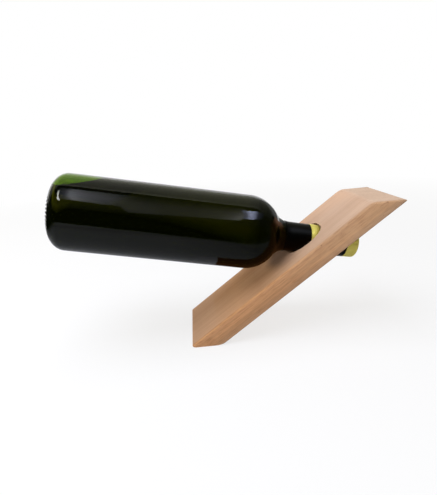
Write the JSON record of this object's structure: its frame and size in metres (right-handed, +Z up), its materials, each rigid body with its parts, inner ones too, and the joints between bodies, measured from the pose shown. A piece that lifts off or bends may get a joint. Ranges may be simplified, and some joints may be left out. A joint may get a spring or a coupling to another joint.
{
  "type": "balancing wine bottle holder",
  "caption": "Leaning wooden board with a slanted hole that holds a corked wine bottle by the neck; the lying bottle's weight balances it on its cut foot.",
  "frame": {"origin": "middle of the board's foot, on the table", "axes": "+X along the bottle from its base to its mouth seen from above, +Y across the board away from the viewer, +Z up"},
  "size_m": [0.3384, 0.08, 0.1792],
  "materials": {
    "beech_wood": "sanded, unvarnished",
    "green_glass": "polished, dark olive green",
    "red_wine": "dark red liquid",
    "cork": "natural cork",
    "capsule_black": "satin black film",
    "capsule_gold": "gold foil",
    "crown_gold": "gold foil"
  },
  "bodies": {
    "holder": {"holder_board": "beech_wood"},
    "bottle": {"bottle_glass": "green_glass", "wine": "red_wine", "cork": "cork", "capsule_skirt": "capsule_black", "capsule_band": "capsule_gold", "capsule_crown": "crown_gold"}
  },
  "joints": [
    {"name": "bottle_draw", "type": "slide", "parent": "holder", "child": "bottle", "axis": [-0.9809, 0, 0.1947], "range_m": [0, 0.1]}
  ]
}
